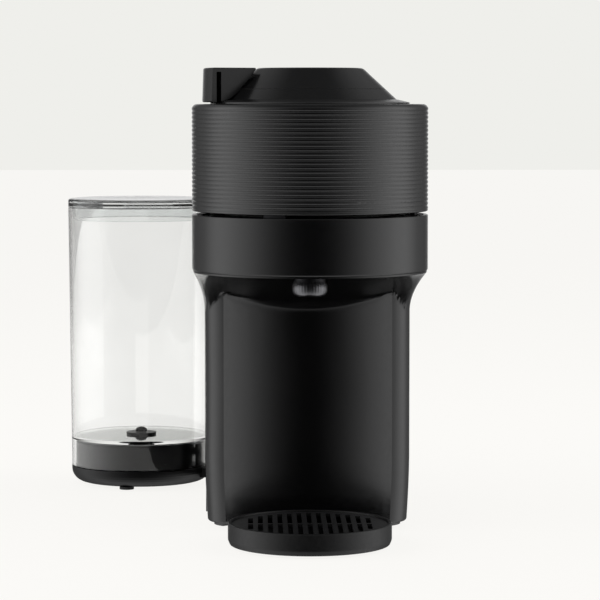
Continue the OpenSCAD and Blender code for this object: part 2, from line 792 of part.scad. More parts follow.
module motor_can() {
  translate([0, motor_y, 0]) rotate_extrude() polygon(rounded([
    [0, 0, 0], [motor_r - 5, 0, 0], [motor_r - 5, 3, 0], [motor_r, 3, 1.5],
    [motor_r, motor_len - 2, 0], [0, motor_len - 2, 0]
  ], 4));
}

// Outline of a belt round two pulleys, r0 at the origin and r1 at distance d along +Y
module belt_outline(r0, r1, d) {
  a = asin((r0 - r1) / d);
  circle(r = r0);
  translate([0, d]) circle(r = r1);
  polygon([
    r0 * [cos(a), sin(a)], [0, d] + r1 * [cos(a), sin(a)],
    [0, d] + r1 * [-cos(a), sin(a)], r0 * [-cos(a), sin(a)]
  ]);
}

module drive_belt() color("#161616") up(belt_z) linear_extrude(belt_h) difference() {
  belt_outline(pulley_r + belt_gap + belt_t, motor_pulley_r + belt_gap + belt_t, motor_y);
  belt_outline(pulley_r + belt_gap, motor_pulley_r + belt_gap, motor_y);
}

/* ---------- Water system in the body ---------- */

module along_y(x, y, z) {
  translate([x, y, z]) rotate([-90, 0, 0]) children();
}

module water_pump() color("#3f4247") {
  along_y(pump_x, pump_front, pump_z) {
    rotate_extrude() polygon([
      [0, 0], [5, 0], [5, 8], [9, 8], [9, 16], [pump_r - 2, 16], [pump_r - 2, 22], [pump_r, 22],
      [pump_r, pump_len - 22], [pump_r - 2, pump_len - 22], [pump_r - 2, pump_len - 14],
      [8, pump_len - 14], [8, pump_len], [0, pump_len]
    ]);
    up(-nipple_len) cylinder(r = nipple_r, h = pump_len + 2 * nipple_len);
  }
}

module pump_mounts() color("#141414") for (y = [pump_front + 18.5, pump_front + pump_len - 19])
  difference() {
    union() {
      along_y(pump_x, y - 2, pump_z) cylinder(r = pump_r + 3, h = 4);
      translate([pump_x - 9, y - 2, base_top]) cube([18, 4, pump_z - base_top]);
    }
    along_y(pump_x, y - 3, pump_z) cylinder(r = pump_r - 2 + clear, h = 6);
  }

module thermoblock() color("#9da0a4") {
  translate([heater_x - heater_w / 2, heater_front, heater_z]) difference() {
    cube([heater_w, heater_len, heater_h]);
    // cooling ribs down the outer side
    for (i = [0:7]) translate([-over, 8 + 8 * i, 6]) cube([3 + over, 4, heater_h - 12]);
  }
  for (x = [-10, 10], y = [10, heater_len - 10])
    translate([heater_x + x, heater_front + y, base_top]) cylinder(r = 4, h = heater_z - base_top);
  for (x = [-10, 10]) translate([heater_x + x, heater_front + 14, heater_z + heater_h]) {
    cylinder(r = 5, h = 3);
    cylinder(r = nipple_r, h = 3 + nipple_len);
  }
  translate([heater_x, heater_front + 48, heater_z + heater_h]) cylinder(r = 8, h = 7);
}

module flow_meter() color("#d8d8d2") {
  translate([meter.x, meter.y, meter_z]) {
    cylinder(r = 12, h = 14);
    up(14) cylinder(r = 9, h = 3);
  }
  translate([meter.x - 5, meter.y - 5, base_top]) cube([10, 10, meter_z - base_top]);
  along_y(meter.x, meter.y - 12 - nipple_len, nipple_z)
    cylinder(r = nipple_r, h = 2 * (12 + nipple_len));
}

meter_rear = [meter.x, meter.y + 12.3, nipple_z];
meter_front = [meter.x, meter.y - 12.3, nipple_z];
fitting_front = [pivot.x, pivot.y - 16.5, nipple_z];
heater_in = [heater_x + 10, heater_front + 14, heater_z + heater_h + 3.3];
heater_out = [heater_x - 10, heater_front + 14, heater_z + heater_h + 3.3];

// Hose that leaves a towards b and reaches d from c, straight over its nipples at both ends
module hose(a, b, c, d, side) {
  straight = nipple_len + 1;
  u = straight * unit(b - a);
  v = straight * unit(c - d);
  tube(concat([a], bezier(a + u, b, c, d + v), [d]), hose_r, hose_bore_r, side);
}

module inlet_hose() color("#c9c9c4")
  hose(fitting_front, fitting_front - [0, 9, 0], meter_rear + [0, 9, 0], meter_rear, [0, 0, 1]);

module suction_hose() color("#c9c9c4") {
  end = [pump_x, pump_front + pump_len + 0.3, pump_z];
  hose(meter_front, meter_front - [0, 30, 0], end + [0, 36, 0], end, [0, 0, 1]);
}

module pressure_hose() color("#c9c9c4") {
  start = [pump_x, pump_front - 0.3, pump_z];
  hose(start, start - [0, 30, 0], heater_in + [0, 0, 62], heater_in, [1, 0, 0.1]);
}

brew_hose_end = [-lug_outer_x - 4, hinge_y + 12, hinge_z - 8];
module brew_hose() color("#c9c9c4")
  hose(heater_out, heater_out + [0, 0, 50], brew_hose_end - [0, 0, 50], brew_hose_end, [0, 1, 0]);

board_t = 1.6;
board_size = 62;
board_parts_h = 5;
board_gap = 11;      // between the shelf and the board's lower edge

module control_board() color("#1f5a35") {
  // midway between the container and the side wall
  x = (bin_half_w + column_half_w - wall - board_t - board_parts_h) / 2;
  translate([x, bin_front + 6, shelf_z + shelf_t + board_gap]) {
    cube([board_t, board_size, board_size]);
    // capacitor, relay, transformer and plug rows
    translate([board_t, 10, 12]) rotate([0, 90, 0]) cylinder(r = 5, h = board_parts_h);
    translate([board_t, 22, 6]) cube([board_parts_h - 1, 16, 13]);
    translate([board_t, 44, 8]) cube([board_parts_h - 1, 12, 18]);
    for (i = [0:3]) translate([board_t, 8 + 13 * i, 44]) cube([board_parts_h - 1.5, 8, 7]);
    // pegs that hold the board off the shelf
    for (y = [4, board_size - 10]) translate([0, y, -board_gap]) cube([board_t, 6, board_gap + over]);
  }
}

module cord_gland() color("#141414") difference() {
  union() {
    along_y(gland_x, rear_y - 10, gland_z) cylinder(r = gland_r, h = 13);
    along_y(gland_x, rear_y, gland_z) cylinder(r = gland_r + 2, h = 2);
    along_y(gland_x, rear_y - 7.5, gland_z) cylinder(r = gland_r + 2, h = 4.5);
  }
  along_y(gland_x, rear_y - 10 - over, gland_z) cylinder(r = gland_bore_r, h = 13 + 2 * over);
}

module hinge_pin() color("silver") translate([-lug_outer_x - lug_t / 2 - over, hinge_y, hinge_z])
  rotate([0, 90, 0]) cylinder(r = hinge_pin_r, h = 2 * lug_outer_x + lug_t + 2 * over);

module hinge_spring() color("#b9bcc0") for (s = [-1, 1])
  translate([s > 0 ? 3 : 3 - lug_inner_x + lug_t / 2 - 3, hinge_y, hinge_z]) rotate([0, 90, 0])
    coil(hinge_pin_r + 1.3, 0.8, 8, lug_inner_x - lug_t / 2 - 3.4);

module swivel_fitting() color("#303033") {
  translate([pivot.x, pivot.y, tier_h + clear]) cylinder(r = post_r + 3, h = nipple_z - tier_h + 5);
  along_y(pivot.x, fitting_front.y - nipple_len, nipple_z)
    cylinder(r = nipple_r, h = pivot.y - fitting_front.y + nipple_len);
}

/* ---------- Spinning parts ---------- */

module capsule_holder() color("#55585c") rotate_extrude() polygon([
  [0, holder_bottom], [pulley_r + flange_rise, holder_bottom],
  [pulley_r + flange_rise, belt_z - clear], [pulley_r, belt_z - clear],
  [pulley_r, belt_z + belt_h + clear], [pulley_r + flange_rise, belt_z + belt_h + clear],
  [pulley_r + flange_rise, frame_z - 0.3], [holder_neck_r, frame_z - 0.3],
  [holder_neck_r, bearing_z + bearing_h + clear], [holder_neck_r + 3, bearing_z + bearing_h + clear],
  [holder_neck_r + 3, bearing_z + bearing_h + 3], [holder_r + holder_wall, bearing_z + bearing_h + 5],
  [holder_r + holder_wall, holder_top - 3], [deck_hole_r - 1, holder_top - 2],
  [deck_hole_r - 1, holder_top], [holder_r, holder_top], [holder_r, holder_floor + 6],
  [holder_r - 6, holder_floor], [0, holder_floor]
]);

module motor_pulley() color("#8e9196") translate([0, motor_y, 0]) {
  up(motor_top - 22) cylinder(r = shaft_r, h = holder_bottom - motor_top + 22.5);
  rotate_extrude() polygon([
    [0, holder_bottom], [motor_pulley_r + flange_rise, holder_bottom],
    [motor_pulley_r + flange_rise, belt_z - clear], [motor_pulley_r, belt_z - clear],
    [motor_pulley_r, belt_z + belt_h + clear], [motor_pulley_r + flange_rise, belt_z + belt_h + clear],
    [motor_pulley_r + flange_rise, frame_z - 0.3], [0, frame_z - 0.3]
  ]);
}

/* ---------- Opening head ---------- */

module head_shell() color("#2a2a2c") difference() {
  union() {
    rotate_extrude() {
      polygon(rounded([
        [shell_in_r, shell_z, 0.4], [head_r - 0.1, shell_z, 0.7], [head_r - 0.1, shell_z + 1.2, 0.3],
        [shell_skin_r, shell_z + 1.5, 0], [shell_skin_r, rib_first_z - 0.5, 0],
        [head_r - 0.15, rib_first_z, 0], [head_r - 0.15, deck_z, shell_edge_r],
        [cable_hole_r, deck_z, 0], [cable_hole_r, roof_under, 0], [shell_in_r, roof_under, 2]
      ], 6));
      for (i = [0:rib_n - 1]) translate([head_r - rib_back_r, rib_first_z - rib_pitch * i])
        circle(r = rib_back_r, $fn = 48);
    }
    // posts that carry the liner
    for (a = [30, 150, 270]) rotate([0, 0, a]) translate([shell_post_pitch, 0, liner_z + liner_t])
      cylinder(r = shell_post_r, h = roof_under - liner_z - liner_t + over, $fn = 48);
  }
  // arc slots for the pins of the lock
  for (a = [60, 180, 300]) up(roof_under - over) {
    arc_block(lock_pitch_r - lock_pin_r - 0.6, lock_pitch_r + lock_pin_r + 0.6, wall + 2 * over,
      a - 4, a + lock_angle + 4);
  }
  // notches over the hinge ears
  for (s = [-1, 1]) translate([s * ear_x - ear_t / 2 - 1, 0, shell_z - over])
    cube([ear_t + 2, head_r + over, liner_z + liner_t + 1 - shell_z + over]);
}

module head_liner() color("#38383b") difference() {
  union() {
    up(liner_z) cylinder(r = liner_r, h = liner_t);
    up(liner_z) cylinder(r = clamp_bearing_r + clear + 2.7, h = cup_top - liner_z);
    // short wall that seals on the deck gasket
    up(brew_deck_z + gasket_t + clear)
      ring(gasket_out_r + 0.5, gasket_in_r - 0.5, liner_z - brew_deck_z - gasket_t - clear + over);
    for (s = [-1, 1]) {
      translate([s * ear_x - ear_t / 2, 0, 0]) rotate([90, 0, 90]) linear_extrude(ear_t)
        polygon([
          [ear_root_y, liner_z + liner_t], [ear_root_y, shell_z + 1], [hinge_y - 12, shell_z + 1],
          [hinge_y - knuckle_r + 0.6, hinge_z - 2.5], [hinge_y, hinge_z],
          [hinge_y + knuckle_r - 0.8, hinge_z + 2.5], [hinge_y + 1, liner_z - 2],
          [hinge_y - 6, liner_z + liner_t]
        ]);
      translate([s * ear_x - ear_t / 2, hinge_y, hinge_z]) rotate([0, 90, 0])
        cylinder(r = knuckle_r, h = ear_t);
    }
  }
  up(liner_z - over) cylinder(r = clamp_bearing_r + clear, h = clamp_bearing_h + over + clear);
  up(liner_z) cylinder(r = hub_r + 3, h = cup_top - liner_z + over);
  translate([-hinge_slot_x, hinge_y, hinge_z]) rotate([0, 90, 0])
    cylinder(r = hinge_pin_r + fit, h = 2 * hinge_slot_x);
}

module dome_cap() color("#262628") difference() {
  rotate_extrude() polygon(rounded([
    [dome_neck_r - wall, deck_z, 0], [dome_neck_r, deck_z, 0], [dome_neck_r, seam_z + clear, 0],
    [dome_r(seam_z + clear), seam_z + clear, 0], [dome_r(dome_brow_z), dome_brow_z, 1.2],
    [dome_top_r - 1.5, dome_z, 1.2], [button_r + 4, dome_z, 0.4],
    [button_r + 4, dome_z - 2, 0], [button_r + 0.7, dome_z - 2, 0], [button_r + 0.7, dome_z - 5, 0],
    [button_r + 6, dome_z - 5, 0], [dome_neck_r - wall, seam_z + 2, 0]
  ], 5));
  // pin hole of the status light beside the lever
  translate([-dome_top_r + 3.2, 0, dome_z - 1]) cylinder(r = 0.8, h = 1 + over, $fn = 24);
}

module light_ring() color("#e9e6dc") up(dome_z - 1.8) ring(button_r + 3.8, button_r + 0.9, 1.7);

module code_reader() color("#1f5a35") rotate([0, 0, 270]) {
  translate([clamp_r + 3, -7, liner_z - reader_h])
    cube([gasket_in_r - 1.5 - clamp_r - 3, 14, reader_h]);
}

module clamp_bearing() color("silver") up(liner_z) difference() {
  ring(clamp_bearing_r, hub_r + fit, clamp_bearing_h);
  up(-over) ring(clamp_bearing_r - 2.4, hub_r + 2, 1.5 + over);
}

module water_swivel() color("#303033") up(cup_top) {
  difference() {
    union() {
      cylinder(r = clamp_bearing_r + 3, h = 3);
      cylinder(r = nipple_r, h = 3 + nipple_len);
    }
    up(-over) cylinder(r = needle_r, h = 3 + nipple_len + 2 * over);
  }
}

head_hose_start = [0, 0, cup_top + 3.3];
head_hose_end = [0, hinge_y - 14, liner_z + liner_t + hose_r + 0.3];
module head_hose() color("#c9c9c4")
  hose(head_hose_start, head_hose_start + [0, 0, 34], head_hose_end - [0, 34, 0], head_hose_end,
    [1, 0, 0]);

module capsule_clamp() color("#4d5054") difference() {
  union() {
    up(liner_z - clear - clamp_t) rotate_extrude() polygon([
      [0, 0.8], [clamp_r - 5, 0.8], [clamp_r - 4, 0], [clamp_r, 0], [clamp_r, clamp_t], [0, clamp_t]
    ]);
    up(liner_z - clear - over) cylinder(r = hub_r, h = clamp_bearing_h + 3 + clear);
  }
  up(liner_z - clamp_t - 3) cylinder(r = needle_r + 0.3, h = 30);
}

module piercing_needle() color("silver") difference() {
  union() {
    up(liner_z - clamp_t - 8) cylinder(r1 = 0.5, r2 = needle_r, h = 4);
    up(liner_z - clamp_t - 4) cylinder(r = needle_r, h = clamp_bearing_h + clamp_t + 6);
    up(liner_z - clamp_t - 1.2) cylinder(r = needle_r + 2, h = 1.2 - 0.8 + 0.5);
  }
  up(liner_z - clamp_t - 4) cylinder(r = needle_r / 2, h = 40, $fn = 24);
}

/* ---------- Lock lever ---------- */

module lock_lever() color("#232325") rotate_extrude() polygon(concat(
  [[dome_neck_r + clear, deck_z + clear], [flange_r, deck_z + clear]],
  // hollow curve from the thin flange up to the slope
  [for (i = [1:6]) let (a = 90 - 62 * i / 6, s = (flange_r - dome_foot_r) / (1 - cos(62)))
    [flange_r - s * (sin(a) > 0 ? 1 - sin(a) : 0),
     deck_z + clear + 0.5 + (dome_slope_z - deck_z - clear - 0.5) * pow(i / 6, 1.6)]],
  [[dome_r(seam_z), seam_z], [dome_neck_r + clear, seam_z]]));

grip_skin = 3.2;
grip_groove = 3;
grip_groove_depth = 7;

module lever_grip() color("#222224") {
  a = grip_angle / 2;
  difference() {
    rotate([0, 0, 180 - a]) rotate_extrude(angle = grip_angle) polygon(rounded([
      [flange_r + clear, deck_z + 1, 0], [grip_r, deck_z + 1, 1], [grip_r - 0.7, dome_z, 1.2],
      [dome_r(dome_z - 2) + 1, dome_z, 0.8], [dome_r(seam_z) + 0.6, seam_z + clear, 0],
      [dome_r(seam_z) + 0.2, seam_z, 0], [dome_r(dome_slope_z + 2), dome_slope_z + 2.6, 0],
      [dome_foot_r + 0.7, dome_slope_z + 0.5, 0]
    ], 5));
    // upright groove in each side face, behind the outer skin
    for (s = [-1, 1]) rotate([0, 0, 180 + s * a])
      translate([grip_r - grip_skin - grip_groove, s > 0 ? -grip_groove_depth : -over, deck_z])
        cube([grip_groove, grip_groove_depth + over, dome_h - 2.5]);
  }
}

module lock_ring() color("#6a6d71") {
  up(roof_under - clear - lock_t) ring(lock_out_r, lock_in_r, lock_t);
  for (a = [60, 180, 300]) rotate([0, 0, a]) translate([lock_pitch_r, 0, roof_under - clear - over])
    cylinder(r = lock_pin_r, h = deck_z - roof_under + 2 * clear + over, $fn = 48);
  for (a = leg_starts) {
    up(roof_under - clear - lock_t)
      arc_block(lock_out_r - over, leg_out_r, lock_t, a - leg_angle / 2, a + leg_angle / 2);
    up(claw_top - claw_t)
      arc_block(leg_in_r, leg_out_r, roof_under - clear - claw_top, a - leg_angle / 2,
        a + leg_angle / 2);
    up(claw_top - claw_t) arc_block(claw_in_r, leg_out_r, claw_t, a - leg_angle / 2, a + leg_angle / 2);
  }
}

/* ---------- Start button ---------- */

module start_button() color("#313134") {
  up(dome_z - 4) rotate_extrude() polygon(rounded([
    [0, 0, 0], [button_r, 0, 0], [button_r, 3.7, 0.8], [0, 3.4, 0]
  ]));
  up(dome_z - 8.5) cylinder(r = 3, h = 5);
}

module button_spring() color("silver") up(dome_z - 13.2)
  coil(4.6, 0.4, 4, 9 - button_travel, sides = 6, steps = 12);

module button_switch() color("#1f5a35") {
  up(dome_z - 15) cylinder(r = dome_neck_r - wall - 6, h = 1.5);
  translate([-2.7, -2.7, dome_z - 13.5]) cube([5.4, 5.4, 5 - button_travel - clear]);
  // legs of the switch board on the deck
  for (a = [45:90:315]) rotate([0, 0, a]) translate([cable_hole_r + 6, 0, deck_z])
    cylinder(r = 2.5, h = dome_z - 15 - deck_z, $fn = 24);
}

/* ---------- Cup platform ---------- */

tray_floor = base_top + clear;
tray_floor_t = 1.6;
tray_bottom = 1;
grid_z = tray_top - grid_sink - grid_t;
grid_rim = 4;

module drip_tray() color("#1e1e20") difference() {
  rotate_extrude() polygon(rounded([
    [0, tray_floor, 0], [tongue_r + 2, tray_floor, 0], [tongue_r + 2, tray_bottom, 0],
    [tray_r - 1.2, tray_bottom, 1], [tray_r, tray_bottom + 3, 3], [tray_r, tray_top, 0.8],
    [tray_r - tray_wall, tray_top, 0.5], [tray_r - tray_wall, grid_z - clear, 0],
    [tray_r - tray_wall - 2, grid_z - clear, 0], [tray_r - tray_wall - 2, tray_floor + tray_floor_t, 0],
    [0, tray_floor + tray_floor_t, 0]
  ]));
  // notch over the neck of the base
  translate([-neck_w / 2 - 1, 20, -over]) cube([neck_w + 2, tray_r, column_bottom + over]);
}

module drip_grid() color("#2e2e31") up(grid_z) difference() {
  r = tray_r - tray_wall - clear;
  cylinder(r = r, h = grid_t);
  n = floor((r - grid_rim - 2 * slot_w) / slot_pitch);
  for (i = [-n:n]) {
    half = sqrt(pow(r - grid_rim, 2) - pow(abs(i) * slot_pitch + slot_w / 2, 2));
    translate([i * slot_pitch - slot_w / 2, -half, -over]) cube([slot_w, half - 1.5, grid_t + 2 * over]);
    translate([i * slot_pitch - slot_w / 2, 1.5, -over]) cube([slot_w, half - 1.5, grid_t + 2 * over]);
  }
}

/* ---------- Capsule container ---------- */

// Plan of the container, set in by o
function bin_plan(o) = rounded([
  [bin_half_w - o, bin_front + o, 8 - o], [bin_half_w - o, bin_back - o, 12 - o],
  [o - bin_half_w, bin_back - o, 12 - o], [o - bin_half_w, bin_front + o, 8 - o]
]);

module capsule_container() color("#29292b") difference() {
  union() {
    up(rear_top - bin_depth) linear_extrude(bin_depth + 1) polygon(bin_plan(0));
    up(rear_top + clear) linear_extrude(1.7) polygon(bin_plan(-2.5));
  }
  up(rear_top - bin_depth + bin_wall) linear_extrude(bin_depth + 4) polygon(bin_plan(bin_wall));
  // low front edge that used capsules fall over
  translate([-holder_r - 3, bin_front - 5, rear_top - 14]) cube([2 * holder_r + 6, 9, 14 + 4]);
}

drop_len = 44;
lid_plate_t = 2.2;

// Lid over the rear of the container; its front stays open for falling capsules
module container_lid() color("#232325") difference() {
  union() {
    up(rear_top + 2) linear_extrude(lid_plate_t) difference() {
      polygon(bin_plan(-2));
      translate([-head_r, 0]) square([2 * head_r, bin_front + drop_len]);
    }
    // rib that seats inside the container's mouth
    up(rear_top - 2) linear_extrude(4) difference() {
      polygon(bin_plan(bin_wall + clear));
      polygon(bin_plan(bin_wall + clear + 1.6));
      translate([-head_r, 0]) square([2 * head_r, bin_front + drop_len]);
    }
  }
  // finger recess at the back edge
  translate([0, bin_back - 14, rear_top + lid_plate_t + 8.4]) sphere(r = 8);
}

/* ---------- Swinging tank base ---------- */

swing_foot_dirs = [-103, 17, 137];
swing_foot_pitch = 41;

module at_tank() {
  translate([tank_axis.x, tank_axis.y, 0]) children();
}

module tank_base() color("#18181a") difference() {
  union() {
    at_tank() rotate_extrude() polygon(rounded([
      [0, foot_h, 0], [tank_r, foot_h, base_round], [tank_r, tier_h, 0.6],
      [tank_in_r - clear - 0.5, tier_h, 0], [tank_in_r - clear - 0.5, socket_top, 1.5], [0, socket_top, 0]
    ], 8));
    // arm to the hub
    translate([pivot.x, pivot.y, hub_z]) {
      cylinder(r = swing_hub_r, h = arm_top - hub_z);
      rotate([0, 0, arm_dir]) translate([post_r + 1.5, -arm_half_w, 0])
        cube([arm_len - post_r - 6.5, 2 * arm_half_w, arm_top - hub_z]);
    }
  }
  translate([pivot.x, pivot.y, hub_z - over]) cylinder(r = post_r + fit, h = tier_h - hub_z + 2 * over);
  // hollow underside
  at_tank() up(foot_h - over) difference() {
    cylinder(r = tank_r - base_round - 2, h = socket_top - foot_h - wall + over);
    cylinder(r = 11, h = socket_top);
    for (a = swing_foot_dirs) rotate([0, 0, a]) translate([swing_foot_pitch, 0, 0])
      cylinder(r = foot_r + 1, h = socket_top);
  }
  // socket for the tank's stub
  at_tank() up(stub_bottom - clear) cylinder(r = stub_r + 1.4, h = socket_top);
  at_tank() up(stub_bottom - 6) cylinder(r = 4, h = 7);
}

module swing_feet() color("#101010") at_tank() {
  for (a = swing_foot_dirs) rotate([0, 0, a]) translate([swing_foot_pitch - 2, 0, 0])
    cylinder(r = foot_r - 2, h = foot_h);
}

module socket_seal() color("#8c3a2a") at_tank() up(stub_bottom + 3) {
  ring(stub_r + 1.1, stub_r + clear, 2.4);
}

/* ---------- Water tank ---------- */

module water_tank() color("#9fb0b8", 0.5) difference() {
  union() {
    at_tank() rotate_extrude() polygon([
      [tank_in_r, tank_bottom], [tank_r, tank_bottom], [tank_r + tank_draft, tank_top],
      [tank_in_r + tank_draft, tank_top], [tank_r_at(tank_floor_top) - tank_wall, tank_floor_top],
      [0, tank_floor_top], [0, tank_floor_z], [tank_r_at(tank_floor_z) - tank_wall, tank_floor_z]
    ]);
    // lug of the lid's hinge
    at_tank() translate([-lid_ear_x + clear, tank_r + tank_draft - 1.5, tank_top - 8])
      cube([2 * (lid_ear_x - clear), lid_pin_off + 1.5, 8]);
    at_tank() translate([-lid_ear_x + clear, tank_r + tank_draft + 0.6, lid_pin_z - 4])
      cube([2 * (lid_ear_x - clear), lid_pin_off - 0.6, 4]);
    at_tank() translate([-lid_ear_x + clear, tank_r + tank_draft + lid_pin_off, lid_pin_z])
      rotate([0, 90, 0]) cylinder(r = 3, h = 2 * (lid_ear_x - clear));
  }
  at_tank() up(tank_floor_z - over) cylinder(r = stub_r + 0.2, h = floor_t + 2 * over);
  at_tank() translate([-lid_ear_x, tank_r + tank_draft + lid_pin_off, lid_pin_z])
    rotate([0, 90, 0]) cylinder(r = lid_pin_r + fit, h = 2 * lid_ear_x);
}

module valve_seat() color("#d9d9d6") at_tank() difference() {
  union() {
    up(tank_floor_top) cylinder(r = seat_r, h = seat_t);
    up(stub_bottom) cylinder(r = stub_r, h = tank_floor_top - stub_bottom + 0.1);
  }
  up(stub_bottom - over) cylinder(r = 3.8, h = tank_floor_top - stub_bottom - 0.5 + over);
  up(stub_bottom) cylinder(r = plunger_r + 0.5, h = tank_floor_top + seat_t);
}

module valve_spring() color("silver") at_tank() up(stub_bottom + 2 + valve_travel + clear)
  coil(2.8, 0.35, 3, tank_floor_top - stub_bottom - 3.1 - valve_travel, sides = 6, steps = 12);

module valve_plunger() color("#c8c8c4") at_tank() {
  up(stub_bottom + 1) cylinder(r = plunger_r, h = tank_floor_top + seat_t - stub_bottom + 1);
  up(stub_bottom + 1) cylinder(r = 3.4, h = 1);
  up(tank_floor_top + seat_t + clear) cylinder(r = knob_r, h = 3.2);
}

lid_r = tank_r + tank_draft;
module tank_lid() color("#8d9aa0", 0.7) difference() {
  union() {
    at_tank() rotate_extrude() polygon(rounded([
      [0, tank_top + clear, 0], [lid_r - tank_wall - clear - 2, tank_top + clear, 0],
      [lid_r - tank_wall - clear - 3.2, tank_top - lid_skirt, 0],
      [lid_r - tank_wall - clear - 1.2, tank_top - lid_skirt, 0.4],
      [lid_r - tank_wall - clear, tank_top + clear, 0], [lid_r, tank_top + clear, 0.3],
      [lid_r, tank_top + lid_h, 1.5], [lid_r - 5, tank_top + lid_h + 0.4, 0], [0, tank_top + lid_h, 0]
    ], 5));
    for (s = [-1, 1]) at_tank() {
      translate([s * (lid_ear_x + 2.5) - 2.5, lid_r - 3, tank_top + clear])
        cube([5, lid_pin_off + 3, 5.7]);
      translate([s * (lid_ear_x + 2.5) - 2.5, lid_r + lid_pin_off, lid_pin_z]) rotate([0, 90, 0])
        cylinder(r = 3, h = 5);
    }
  }
  at_tank() translate([-lid_ear_x - 6, lid_r + lid_pin_off, lid_pin_z]) rotate([0, 90, 0])
    cylinder(r = lid_pin_r + fit, h = 2 * lid_ear_x + 12);
  at_tank() translate([-lid_ear_x, lid_r - 0.4, tank_top]) cube([2 * lid_ear_x, 12, lid_h + 2]);
}

module lid_pin() color("silver") at_tank()
  translate([-lid_ear_x - 5, lid_r + lid_pin_off, lid_pin_z]) rotate([0, 90, 0])
    cylinder(r = lid_pin_r, h = 2 * lid_ear_x + 10);

base_plate();
rubber_feet();
case_screws();
column_shell();
rear_housing();
container_shelf();
rear_cover();
brew_ring();
brew_deck();
deck_gasket();
coffee_collector();
coffee_outlet();
brew_frame();
holder_bearing();
spin_motor();
drive_belt();
water_pump();
pump_mounts();
thermoblock();
flow_meter();
inlet_hose();
suction_hose();
pressure_hose();
brew_hose();
control_board();
cord_gland();
hinge_pin();
hinge_spring();
swivel_fitting();
capsule_holder();
motor_pulley();
head_shell();
head_liner();
dome_cap();
light_ring();
code_reader();
clamp_bearing();
water_swivel();
head_hose();
capsule_clamp();
piercing_needle();
lock_lever();
lever_grip();
lock_ring();
start_button();
button_spring();
button_switch();
drip_tray();
drip_grid();
capsule_container();
container_lid();
tank_base();
swing_feet();
socket_seal();
water_tank();
valve_seat();
valve_spring();
tank_lid();
lid_pin();
valve_plunger();
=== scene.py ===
"""Looks of the pod coffee machine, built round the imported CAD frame. Metres, Z up, -Y is the front."""

import json
import math

import bpy
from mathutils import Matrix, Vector


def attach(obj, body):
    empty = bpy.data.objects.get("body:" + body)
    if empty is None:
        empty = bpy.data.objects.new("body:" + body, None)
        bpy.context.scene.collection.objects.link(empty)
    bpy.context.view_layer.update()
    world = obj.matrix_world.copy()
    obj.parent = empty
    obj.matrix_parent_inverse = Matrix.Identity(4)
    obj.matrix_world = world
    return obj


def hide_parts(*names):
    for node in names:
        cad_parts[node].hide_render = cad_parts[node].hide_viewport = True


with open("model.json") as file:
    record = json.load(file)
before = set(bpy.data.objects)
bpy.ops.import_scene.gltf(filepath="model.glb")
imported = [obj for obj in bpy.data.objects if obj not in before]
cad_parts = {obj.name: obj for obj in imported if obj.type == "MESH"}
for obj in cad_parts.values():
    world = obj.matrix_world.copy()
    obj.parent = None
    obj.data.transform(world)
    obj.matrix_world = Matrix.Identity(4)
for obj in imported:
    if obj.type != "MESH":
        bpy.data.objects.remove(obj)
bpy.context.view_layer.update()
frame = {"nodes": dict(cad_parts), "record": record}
nodes = frame["nodes"]
slot_of = {part["node"]: part["material_slot"] for part in frame["record"]["subparts"]}


# ---------- Materials ----------

# The part of a noise value's range that holds nearly all of it; ramps run over this part
NOISE_LOW, NOISE_HIGH = 0.3, 0.7
NOISE_ROUGHNESS = 0.55


def noise(tree, coords, scale, detail, stretch=(1, 1, 1)):
    """Noise of the object's own coordinates, stretched along its axes."""
    mapping = tree.nodes.new("ShaderNodeMapping")
    mapping.inputs["Scale"].default_value = stretch
    tree.links.new(coords.outputs["Object"], mapping.inputs["Vector"])
    node = tree.nodes.new("ShaderNodeTexNoise")
    node.inputs["Scale"].default_value = scale
    node.inputs["Detail"].default_value = detail
    node.inputs["Roughness"].default_value = NOISE_ROUGHNESS
    tree.links.new(mapping.outputs["Vector"], node.inputs["Vector"])
    return node.outputs["Fac"]


def ramp_colour(tree, value, dark, light):
    """Colour that runs from dark to light over the noise's range."""
    node = tree.nodes.new("ShaderNodeValToRGB")
    node.color_ramp.elements[0].position = NOISE_LOW
    node.color_ramp.elements[1].position = NOISE_HIGH
    node.color_ramp.elements[0].color = (*dark, 1)
    node.color_ramp.elements[1].color = (*light, 1)
    tree.links.new(value, node.inputs["Fac"])
    return node.outputs["Color"]


def ramp_value(tree, value, low, high):
    """Number that runs from low to high over the noise's range."""
    node = tree.nodes.new("ShaderNodeMapRange")
    node.inputs["From Min"].default_value = NOISE_LOW
    node.inputs["From Max"].default_value = NOISE_HIGH
    node.inputs["To Min"].default_value = low
    node.inputs["To Max"].default_value = high
    tree.links.new(value, node.inputs["Value"])
    return node.outputs["Result"]


# Noise scale of the broad tone changes
BROAD_GRAIN = 26
# The gloss changes are this many times coarser than the relief
GLOSS_TO_RELIEF = 8


